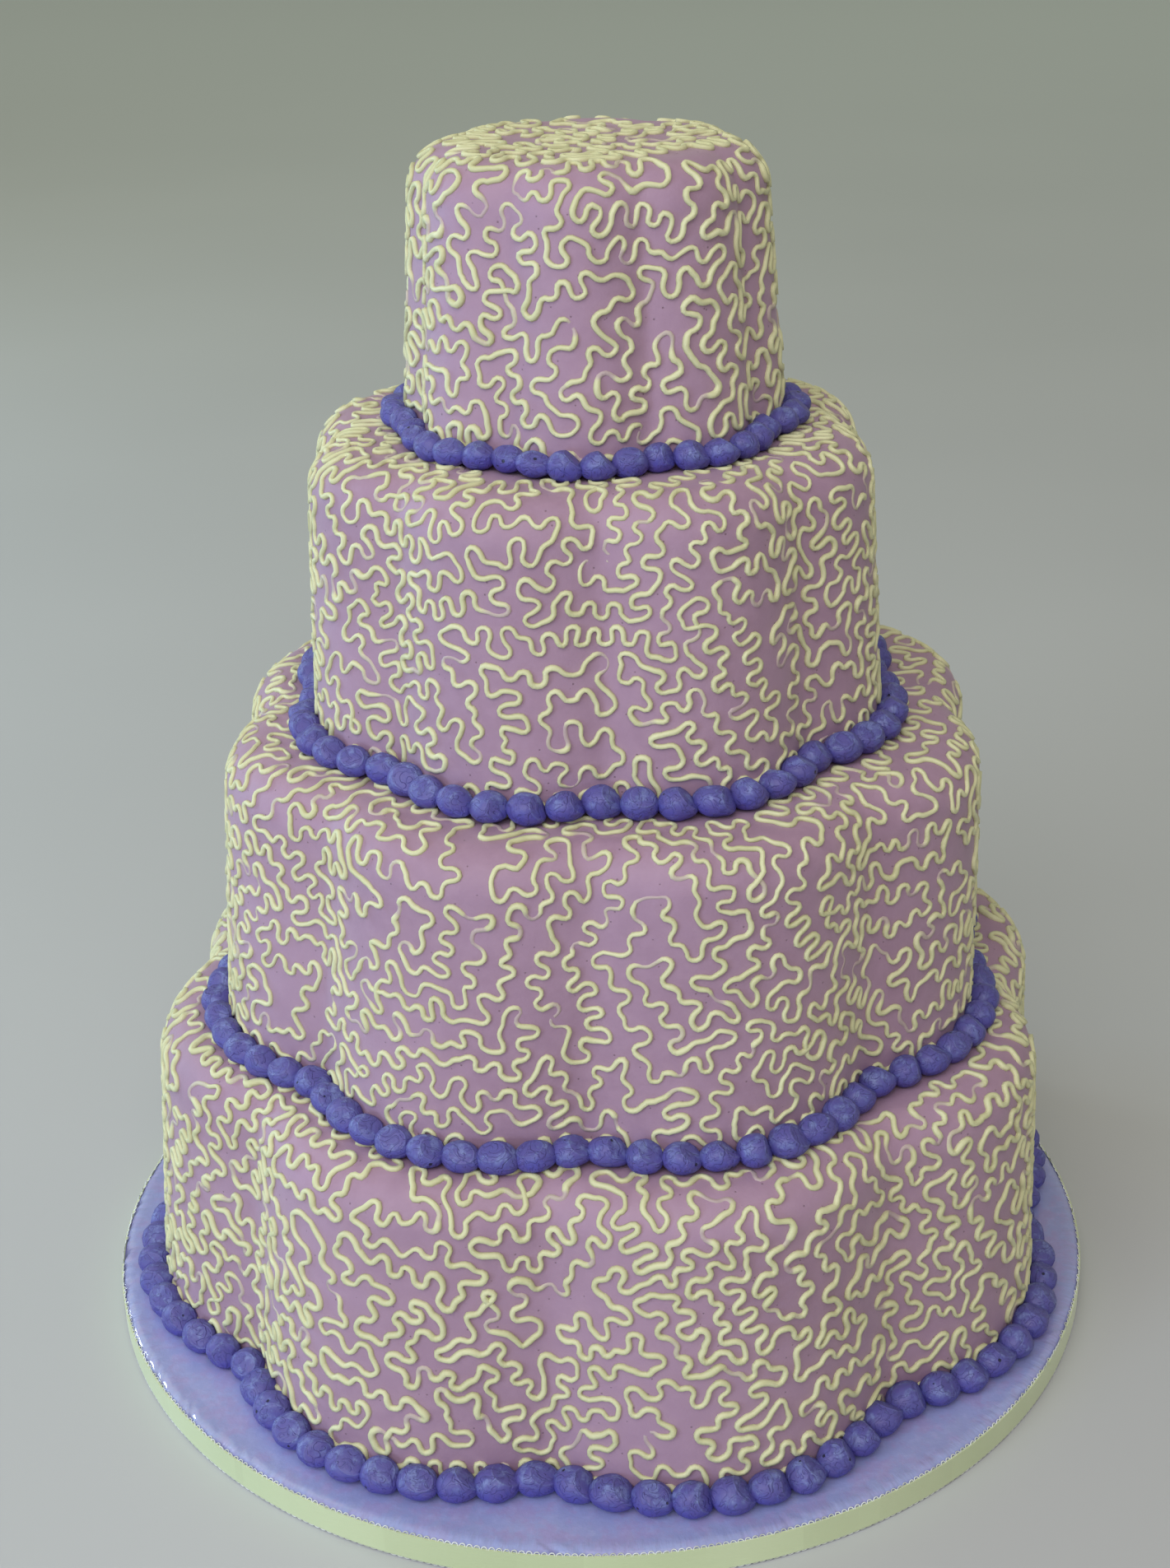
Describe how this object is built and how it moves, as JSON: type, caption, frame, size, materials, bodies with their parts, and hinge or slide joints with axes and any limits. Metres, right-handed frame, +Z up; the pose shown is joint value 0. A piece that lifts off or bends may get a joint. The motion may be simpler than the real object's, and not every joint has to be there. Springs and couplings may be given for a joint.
{
  "type": "wedding cake",
  "caption": "Tiered petal-shaped wedding cake on a ribboned round board, with piped pearl borders and piped lace all over.",
  "frame": {"origin": "centre of the board's underside", "axes": "+Z up, the front of the cake towards -Y"},
  "size_m": [0.4078, 0.4078, 0.4651],
  "materials": {
    "fondant": "matte mauve sugar paste",
    "lace_icing": "satin pale yellow royal icing",
    "pearl_icing": "soft satin violet buttercream",
    "board_cover": "glossy lavender covering",
    "ribbon_satin": "pale yellow satin with looped edges"
  },
  "bodies": {
    "root": {"board": "board_cover", "ribbon": "ribbon_satin", "tier_bottom": "fondant", "tier_third": "fondant", "tier_second": "fondant", "tier_top": "fondant", "border_bottom": "pearl_icing", "border_third": "pearl_icing", "border_second": "pearl_icing", "border_top": "pearl_icing"}
  },
  "joints": []
}
